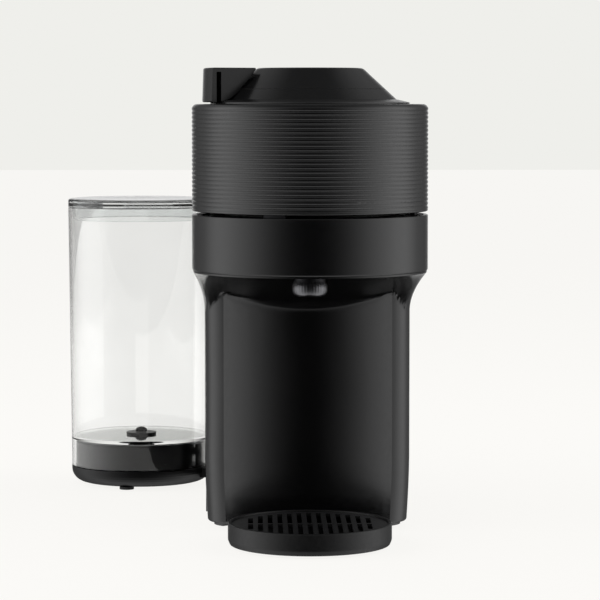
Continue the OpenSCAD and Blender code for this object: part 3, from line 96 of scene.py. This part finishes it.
def surface(name, base, rough, metallic=0.0, vary=0.12, rough_vary=0.05, grain=2400, relief=0.03,
            depth=0.0001, stretch=(1, 1, 1), **fixed):
    """A moulded, cast or turned surface: broad tone changes, fine gloss changes and a fine relief.

    vary is the share by which the tone changes, rough_vary the step either side of rough. grain is the
    relief's noise scale, relief its strength and depth its height. fixed sets sockets of the shader by
    name, with _ for a space.
    """
    material = bpy.data.materials.new(name)
    material.use_nodes = True
    tree = material.node_tree
    shader = tree.nodes["Principled BSDF"]
    coords = tree.nodes.new("ShaderNodeTexCoord")
    broad = noise(tree, coords, BROAD_GRAIN, 4)
    dark = [c * (1 - vary) for c in base]
    light = [min(1, c * (1 + vary)) for c in base]
    tree.links.new(ramp_colour(tree, broad, dark, light), shader.inputs["Base Color"])
    fine = noise(tree, coords, grain / GLOSS_TO_RELIEF, 3, stretch)
    tree.links.new(ramp_value(tree, fine, max(0, rough - rough_vary), rough + rough_vary),
                   shader.inputs["Roughness"])
    bump = tree.nodes.new("ShaderNodeBump")
    bump.inputs["Strength"].default_value = relief
    bump.inputs["Distance"].default_value = depth
    tree.links.new(noise(tree, coords, grain, 2, stretch), bump.inputs["Height"])
    tree.links.new(bump.outputs["Normal"], shader.inputs["Normal"])
    shader.inputs["Metallic"].default_value = metallic
    for key, value in fixed.items():
        shader.inputs[key.replace("_", " ")].default_value = value
    return material


SHELL_TONE = (0.0026, 0.0026, 0.0028)
satin = dict(rough=0.21, rough_vary=0.03, relief=0.025)
clear = dict(Transmission_Weight=1.0, IOR=1.49, vary=0.01, rough_vary=0.01, relief=0.004)
# Looks by material slot
looks = {
    "shell_black": surface("satin_black", SHELL_TONE, **satin),
    "grid_black": surface("grid_black", (0.011, 0.011, 0.0115), 0.36, relief=0.06),
    "inner_grey": surface("inner_grey", (0.03, 0.03, 0.032), 0.42, relief=0.05),
    "rubber_black": surface("rubber_black", (0.013, 0.013, 0.013), 0.75, grain=1500, relief=0.15),
    "seal_grey": surface("seal_grey", (0.012, 0.012, 0.012), 0.6, relief=0.06),
    "outlet_metal": surface("outlet_metal", (0.12, 0.12, 0.126), 0.32, 1.0, grain=1200, relief=0.04,
                            stretch=(1, 1, 0.06)),
    "spin_grey": surface("spin_grey", (0.08, 0.08, 0.085), 0.3, relief=0.03),
    "steel": surface("turned_steel", (0.6, 0.6, 0.62), 0.26, 1.0, grain=1600, relief=0.05,
                     stretch=(0.1, 1, 1)),
    "frame_steel": surface("blackened_steel", (0.05, 0.05, 0.053), 0.42, 1.0, grain=900, relief=0.08),
    "motor_metal": surface("motor_metal", (0.12, 0.13, 0.14), 0.45, 0.6, grain=900, relief=0.08),
    "cast_aluminium": surface("cast_aluminium", (0.55, 0.56, 0.57), 0.48, 1.0, grain=700, relief=0.2,
                              depth=0.0003),
    "hose_clear": surface("hose_silicone", (0.75, 0.75, 0.72), 0.38, relief=0.05,
                          Transmission_Weight=0.45, IOR=1.42),
    "board_green": surface("board_green", (0.02, 0.12, 0.05), 0.35, vary=0.3, grain=600, relief=0.1),
    "light_white": surface("light_guide", (0.85, 0.84, 0.8), 0.32, vary=0.03, Subsurface_Weight=0.3),
    "white_plastic": surface("white_plastic", (0.72, 0.72, 0.7), 0.35, vary=0.04),
    "tank_clear": surface("tank_clear", (0.985, 0.99, 0.99), 0.015, **clear),
    "lid_smoke": surface("lid_clear", (0.9, 0.915, 0.915), 0.05, **clear),
}
# Nodes with a look of their own: the tank's base and the tray are duller than the other shells, and
# the ribbed shell is glossier
own_looks = {
    "tank_base": surface("dull_black", (0.0032, 0.0032, 0.0034), 0.36, relief=0.05,
                         Specular_IOR_Level=0.26),
    "drip_tray": surface("tray_black", (0.005, 0.005, 0.0052), 0.38, relief=0.05,
                         Specular_IOR_Level=0.34),
    "head_shell": surface("ribbed_black", SHELL_TONE, **satin, Specular_IOR_Level=0.6),
}
for name, obj in nodes.items():
    obj.data.materials.clear()
    obj.data.materials.append(own_looks.get(name, looks[slot_of[name]]))


def soften(mesh, degrees):
    """Shades a faceted mesh as smooth where its faces meet flatter than this; no point moves."""
    around = {}
    corners = []
    for face in mesh.polygons:
        for vertex in face.vertices:
            # corners at the same place to a micron count as one
            key = tuple(round(c, 6) for c in mesh.vertices[vertex].co)
            corners.append((key, face.normal.copy()))
            around.setdefault(key, []).append(face.normal * face.area)
    limit = math.cos(math.radians(degrees))
    normals = []
    for key, own in corners:
        total = Vector((0, 0, 0))
        for other in around[key]:
            if other.dot(own) >= limit * other.length:
                total += other
        normals.append(total.normalized() if total.length > 0 else own)
    mesh.normals_split_custom_set(normals)


# Nodes with planar facets in the CAD: the turn in degrees below which two faces blend
FACETED = {
    15: ["rear_housing", "rear_cover", "capsule_container", "container_lid"],
    55: ["column_shell"],
    70: ["hinge_spring", "inlet_hose", "suction_hose", "pressure_hose", "brew_hose", "head_hose",
         "button_spring", "valve_spring"],
}
for degrees, names in FACETED.items():
    for name in names:
        soften(nodes[name].data, degrees)


# ---------- Mesh pieces ----------

def new_mesh(name, points, faces, material):
    """A new object of its own mesh, linked to the scene."""
    mesh = bpy.data.meshes.new(name)
    mesh.from_pydata(points, [], faces)
    mesh.materials.append(material)
    mesh.validate()
    obj = bpy.data.objects.new(name, mesh)
    bpy.context.scene.collection.objects.link(obj)
    return obj


def mesh_piece(name, points, faces, material, body):
    """A new piece on a body of the frame."""
    obj = new_mesh(name, points, faces, material)
    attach(obj, body)
    return obj


def lathe(profile, centre, sides, flute=lambda angle, row: 0.0):
    """Points and faces of a profile (r, z) turned about +Z through centre; flute adds to the radius."""
    points = []
    for row, (r, z) in enumerate(profile):
        for j in range(sides):
            angle = 2 * math.pi * j / sides
            reach = r + flute(angle, row) if r > 0 else 0
            points.append((centre[0] + reach * math.cos(angle), centre[1] + reach * math.sin(angle), z))
    faces = []
    for row in range(len(profile) - 1):
        for j in range(sides):
            k = (j + 1) % sides
            faces.append((row * sides + j, row * sides + k, (row + 1) * sides + k, (row + 1) * sides + j))
    return points, faces


def joined(*parts):
    """Points and faces of several meshes as one."""
    points, faces = [], []
    for more, rows in parts:
        start = len(points)
        points += more
        faces += [tuple(start + i for i in row) for row in rows]
    return points, faces


CREASE = math.radians(35)  # edges of the smooth pieces that turn by more than this stay sharp


def smooth_with_creases(obj):
    obj.data.shade_smooth()
    obj.data.set_sharp_from_angle(angle=CREASE)


# Coffee outlet: barrel with a fluted skin and two drip spouts
OUT_R, OUT_LOW, OUT_HIGH = 0.0107, 0.1518, 0.1632
BORE_R, BORE_FLOOR = 0.0058, OUT_LOW + 0.0055
FLUTES, FLUTE_DEPTH = 36, 0.00008
FIRST_FLUTED, LAST_FLUTED = 5, 10  # rows of the profile that carry the flutes
SPOUT_X, SPOUT_R, SPOUT_BORE_R = 0.0046, 0.0024, 0.0018


def outlet_flute(angle, row):
    if not FIRST_FLUTED <= row <= LAST_FLUTED:
        return 0.0
    return -FLUTE_DEPTH * (0.5 - 0.5 * math.cos(FLUTES * angle))


def build_outlet():
    barrel = [(0.0, OUT_LOW + 0.003), (0.0022, OUT_LOW + 0.001), (0.0074, OUT_LOW),
              (0.0085, OUT_LOW + 0.0002), (0.0095, OUT_LOW + 0.0009), (0.0102, OUT_LOW + 0.002),
              (0.01058, OUT_LOW + 0.0032), (OUT_R, OUT_LOW + 0.0044), (OUT_R, OUT_LOW + 0.0056),
              (0.0105, OUT_LOW + 0.007), (0.01, OUT_LOW + 0.0082), (0.0093, OUT_LOW + 0.0092),
              (0.0091, OUT_HIGH - 0.0006), (0.0088, OUT_HIGH),
              (BORE_R, OUT_HIGH), (BORE_R, BORE_FLOOR), (0.0, BORE_FLOOR)]
    spout = [(SPOUT_BORE_R, OUT_LOW + 0.002), (SPOUT_BORE_R, OUT_LOW - 0.0002),
             ((SPOUT_BORE_R + SPOUT_R) / 2, OUT_LOW - 0.0004), (SPOUT_R, OUT_LOW - 0.0002),
             (SPOUT_R, OUT_LOW + 0.002)]
    points, faces = joined(lathe(barrel, (0, 0), 288, outlet_flute),
                           lathe(spout, (-SPOUT_X, 0), 40), lathe(spout, (SPOUT_X, 0), 40))
    outlet = mesh_piece("outlet_sleeve", points, faces, looks["outlet_metal"], "base")
    smooth_with_creases(outlet)
    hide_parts("coffee_outlet")


build_outlet()


# Rings that close the lever's gaps with painted shade, a dark sheet where the backdrop would show through,
# on the deck and under the dome cap: (inner r, outer r, z)
GAP_SHADE_RINGS = [(0.0572, 0.0596, 0.2672), (0.043, 0.0452, 0.276)]
GAP_SHADE_LIFT, GAP_SHADE_T = 0.00006, 0.00018


def gap_shade_ring(inner, outer, z):
    low, high = z + GAP_SHADE_LIFT, z + GAP_SHADE_LIFT + GAP_SHADE_T
    return lathe([(inner, low), (outer, low), (outer, high), (inner, high), (inner, low)], (0, 0), 192)


def build_gap_shades():
    points, faces = joined(*(gap_shade_ring(*ring) for ring in GAP_SHADE_RINGS))
    # painted shade: dark rubber rings laid in the lever's gaps so that they read as dark seams
    gap_shades = mesh_piece("lever_gap_shades", points, faces, looks["rubber_black"], "lever")


build_gap_shades()


def middle_of(obj):
    """Middle of a node's box in plan, and its lowest and highest point."""
    corners = [obj.matrix_world @ Vector(c) for c in obj.bound_box]
    low = [min(c[k] for c in corners) for k in range(3)]
    high = [max(c[k] for c in corners) for k in range(3)]
    return ((low[0] + high[0]) / 2, (low[1] + high[1]) / 2), low[2], high[2]


# Tank valve: a domed knob on its stem, with a wider foot
KNOB_R, KNOB_DOME, STEM_R, FOOT_R, FOOT_T = 0.0042, 0.0026, 0.0015, 0.0034, 0.001


def build_valve_knob():
    centre, low_z, high_z = middle_of(nodes["valve_plunger"])
    knob = [(0.0, high_z)]
    for turn in range(15, 91, 15):
        a = math.radians(turn)
        knob.append((KNOB_R * math.sin(a), high_z - KNOB_DOME * (1 - math.cos(a))))
    knob += [(KNOB_R - 0.0003, high_z - 0.0031), (STEM_R, high_z - 0.0032), (STEM_R, low_z + FOOT_T),
             (FOOT_R, low_z + FOOT_T), (FOOT_R, low_z), (0.0, low_z)]
    points, faces = lathe(knob, centre, 64)
    plunger = mesh_piece("valve_knob", points, faces, looks["rubber_black"], "valve")
    smooth_with_creases(plunger)
    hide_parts("valve_plunger")


build_valve_knob()


# ---------- Floor, light and camera ----------

FLOOR_TONE = (0.966, 0.956, 0.931)
BACK_TONE = (0.863, 0.863, 0.831)
# Share of the floor's own tone in what the camera sees; the rest is lit and takes the shadow
FLOOR_GLOW = 0.92
# Through glass the floor is pale up to this far either side of the machine
GLASS_HALF_VIEW = 0.7


def link_math(tree, operation, *values):
    """Output of a maths node, held between 0 and 1; each value is a socket or a plain number."""
    node = tree.nodes.new("ShaderNodeMath")
    node.operation = operation
    node.use_clamp = True
    for socket, value in zip(node.inputs, values):
        if isinstance(value, (int, float)):
            socket.default_value = value
        else:
            tree.links.new(value, socket)
    return node.outputs[0]


def pale_floor():
    """Pale floor: to the camera it is mostly its own tone, and it keeps part of the shadow."""
    material = bpy.data.materials.new("pale_floor")
    material.use_nodes = True
    tree = material.node_tree
    shader = tree.nodes["Principled BSDF"]
    shader.inputs["Base Color"].default_value = (*FLOOR_TONE, 1)
    shader.inputs["Roughness"].default_value = 0.8
    shader.inputs["Specular IOR Level"].default_value = 0.0
    glow = tree.nodes.new("ShaderNodeEmission")
    glow.inputs["Color"].default_value = (*FLOOR_TONE, 1)
    path = tree.nodes.new("ShaderNodeLightPath")
    through = path.outputs["Is Transmission Ray"]
    # through glass the floor is pale only straight behind, so that thick edges stay dark
    place = tree.nodes.new("ShaderNodeSeparateXYZ")
    tree.links.new(tree.nodes.new("ShaderNodeTexCoord").outputs["Object"], place.inputs["Vector"])
    aside = link_math(tree, "ABSOLUTE", place.outputs["X"])
    straight = link_math(tree, "MULTIPLY", through, link_math(tree, "LESS_THAN", aside, GLASS_HALF_VIEW))
    seen = link_math(tree, "MAXIMUM", path.outputs["Is Camera Ray"], straight)
    mix = tree.nodes.new("ShaderNodeMixShader")
    tree.links.new(link_math(tree, "MULTIPLY", seen, FLOOR_GLOW), mix.inputs["Fac"])
    tree.links.new(shader.outputs["BSDF"], mix.inputs[1])
    tree.links.new(glow.outputs["Emission"], mix.inputs[2])
    # a glossy surface mirrors the studio's tone in place of the floor
    open_floor = tree.nodes.new("ShaderNodeBsdfTransparent")
    skip = tree.nodes.new("ShaderNodeMixShader")
    tree.links.new(link_math(tree, "SUBTRACT", path.outputs["Is Glossy Ray"], through), skip.inputs["Fac"])
    tree.links.new(mix.outputs["Shader"], skip.inputs[1])
    tree.links.new(open_floor.outputs["BSDF"], skip.inputs[2])
    tree.links.new(skip.outputs["Shader"], tree.nodes["Material Output"].inputs["Surface"])
    return material


FLOOR_X, FLOOR_FRONT, FLOOR_BACK, FLOOR_Z = 9, -1.2, 9, -0.0005
new_mesh("floor", [(-FLOOR_X, FLOOR_FRONT, FLOOR_Z), (FLOOR_X, FLOOR_FRONT, FLOOR_Z),
                            (FLOOR_X, FLOOR_BACK, FLOOR_Z), (-FLOOR_X, FLOOR_BACK, FLOOR_Z)],
                  [(0, 1, 2, 3)], pale_floor())


# The studio's brightness by direction, as (position, share of STUDIO_PEAK). ROUND runs over Y from the
# front at 0 to the back at 1, RISE over Z from straight down at 0 to straight up at 1
STUDIO_PEAK = 2.0
ROUND = [(0.0, 0.0), (0.017, 0.02), (0.067, 0.12), (0.146, 0.33), (0.25, 0.62), (0.37, 0.85),
         (0.5, 1.0), (0.62, 0.88), (0.79, 0.25), (0.933, 0.08), (0.975, 0.12), (0.99, 0.43)]
RISE = [(0.3, 0.75), (0.45, 0.9), (0.55, 0.85), (0.68, 1.0), (0.8, 0.8), (0.9, 0.3), (0.97, 0.08)]


def studio_ramp(tree, value, stops):
    """Grey ramp over a direction's coordinate from -1 to 1."""
    node = tree.nodes.new("ShaderNodeValToRGB")
    ramp = node.color_ramp
    while len(ramp.elements) > 1:
        ramp.elements.remove(ramp.elements[-1])
    for k, (position, share) in enumerate(stops):
        stop = ramp.elements[0] if k == 0 else ramp.elements.new(position)
        stop.position = position
        stop.color = (share, share, share, 1)
    tree.links.new(link_math(tree, "MULTIPLY_ADD", value, 0.5, 0.5), node.inputs["Fac"])
    return node.outputs["Color"]


def pale_world():
    """The pale backdrop to the camera, and to the rest a studio that is brightest at the sides."""
    world = bpy.data.worlds.new("studio")
    bpy.context.scene.world = world
    world.use_nodes = True
    tree = world.node_tree
    dim = tree.nodes["Background"]
    dim.inputs["Strength"].default_value = STUDIO_PEAK
    coords = tree.nodes.new("ShaderNodeTexCoord")
    split = tree.nodes.new("ShaderNodeSeparateXYZ")
    tree.links.new(coords.outputs["Generated"], split.inputs["Vector"])
    level = link_math(tree, "MULTIPLY", studio_ramp(tree, split.outputs["Y"], ROUND),
                      studio_ramp(tree, split.outputs["Z"], RISE))
    tree.links.new(level, dim.inputs["Color"])
    back = tree.nodes.new("ShaderNodeBackground")
    back.inputs["Color"].default_value = (*BACK_TONE, 1)
    path = tree.nodes.new("ShaderNodeLightPath")
    # glass shows the backdrop too, and nothing bright beside or in front of the machine
    behind = link_math(tree, "MULTIPLY_ADD", split.outputs["Y"], 2.5, -1.4)
    seen = path.outputs["Is Camera Ray"]
    tree.links.new(link_math(tree, "MAXIMUM", seen, behind), back.inputs["Strength"])
    mix = tree.nodes.new("ShaderNodeMixShader")
    tree.links.new(link_math(tree, "MAXIMUM", seen, path.outputs["Is Transmission Ray"]), mix.inputs["Fac"])
    tree.links.new(dim.outputs["Background"], mix.inputs[1])
    tree.links.new(back.outputs["Background"], mix.inputs[2])
    tree.links.new(mix.outputs["Shader"], tree.nodes["World Output"].inputs["Surface"])


pale_world()

MIDDLE = Vector((0, 0.03, 0.17))  # the point that the lamps face


def softbox(name, azimuth, elevation, distance, width, height, radiance):
    """Rectangular lamp that faces the machine and shows in no reflection or glass.

    Azimuth 0 is in front and 90 on the +X side. The energy makes its surface as bright as radiance.
    """
    a, e = math.radians(azimuth), math.radians(elevation)
    way = Vector((math.sin(a) * math.cos(e), -math.cos(a) * math.cos(e), math.sin(e)))
    data = bpy.data.lights.new(name, "AREA")
    data.shape = "RECTANGLE"
    data.size, data.size_y = width, height
    data.energy = radiance * math.pi * width * height
    lamp = bpy.data.objects.new(name, data)
    lamp.location = MIDDLE + way * distance
    lamp.rotation_euler = way.to_track_quat("Z", "Y").to_euler()
    lamp.visible_glossy = False
    lamp.visible_transmission = False
    bpy.context.scene.collection.objects.link(lamp)


softbox("left_box", -86, 12, 1.3, 1.5, 1.5, 1.6)
softbox("right_box", 86, 12, 1.3, 1.4, 1.5, 1.5)
softbox("top_box", 180, 72, 1.6, 1.5, 1.1, 1.8)

# Camera fitted to the photograph: it stands at EYE, faces AIM in plan and looks down by DROP
SENSOR, LENS = 36, 165
EYE, AIM = Vector((-0.037, -1.6546, 0.2696)), Vector((-0.006, 0, 0))
DROP = math.radians(4.16)


def build_camera():
    camera = bpy.data.cameras.new("camera")
    camera.sensor_width = SENSOR
    camera.lens = LENS
    view = bpy.data.objects.new("camera", camera)
    bpy.context.scene.collection.objects.link(view)
    level = (AIM - EYE).xy.normalized()
    gaze = Vector((level.x * math.cos(DROP), level.y * math.cos(DROP), -math.sin(DROP)))
    view.location = EYE
    view.rotation_euler = gaze.to_track_quat("-Z", "Y").to_euler()
    bpy.context.scene.camera = view


build_camera()

bpy.context.scene.view_settings.view_transform = "Standard"
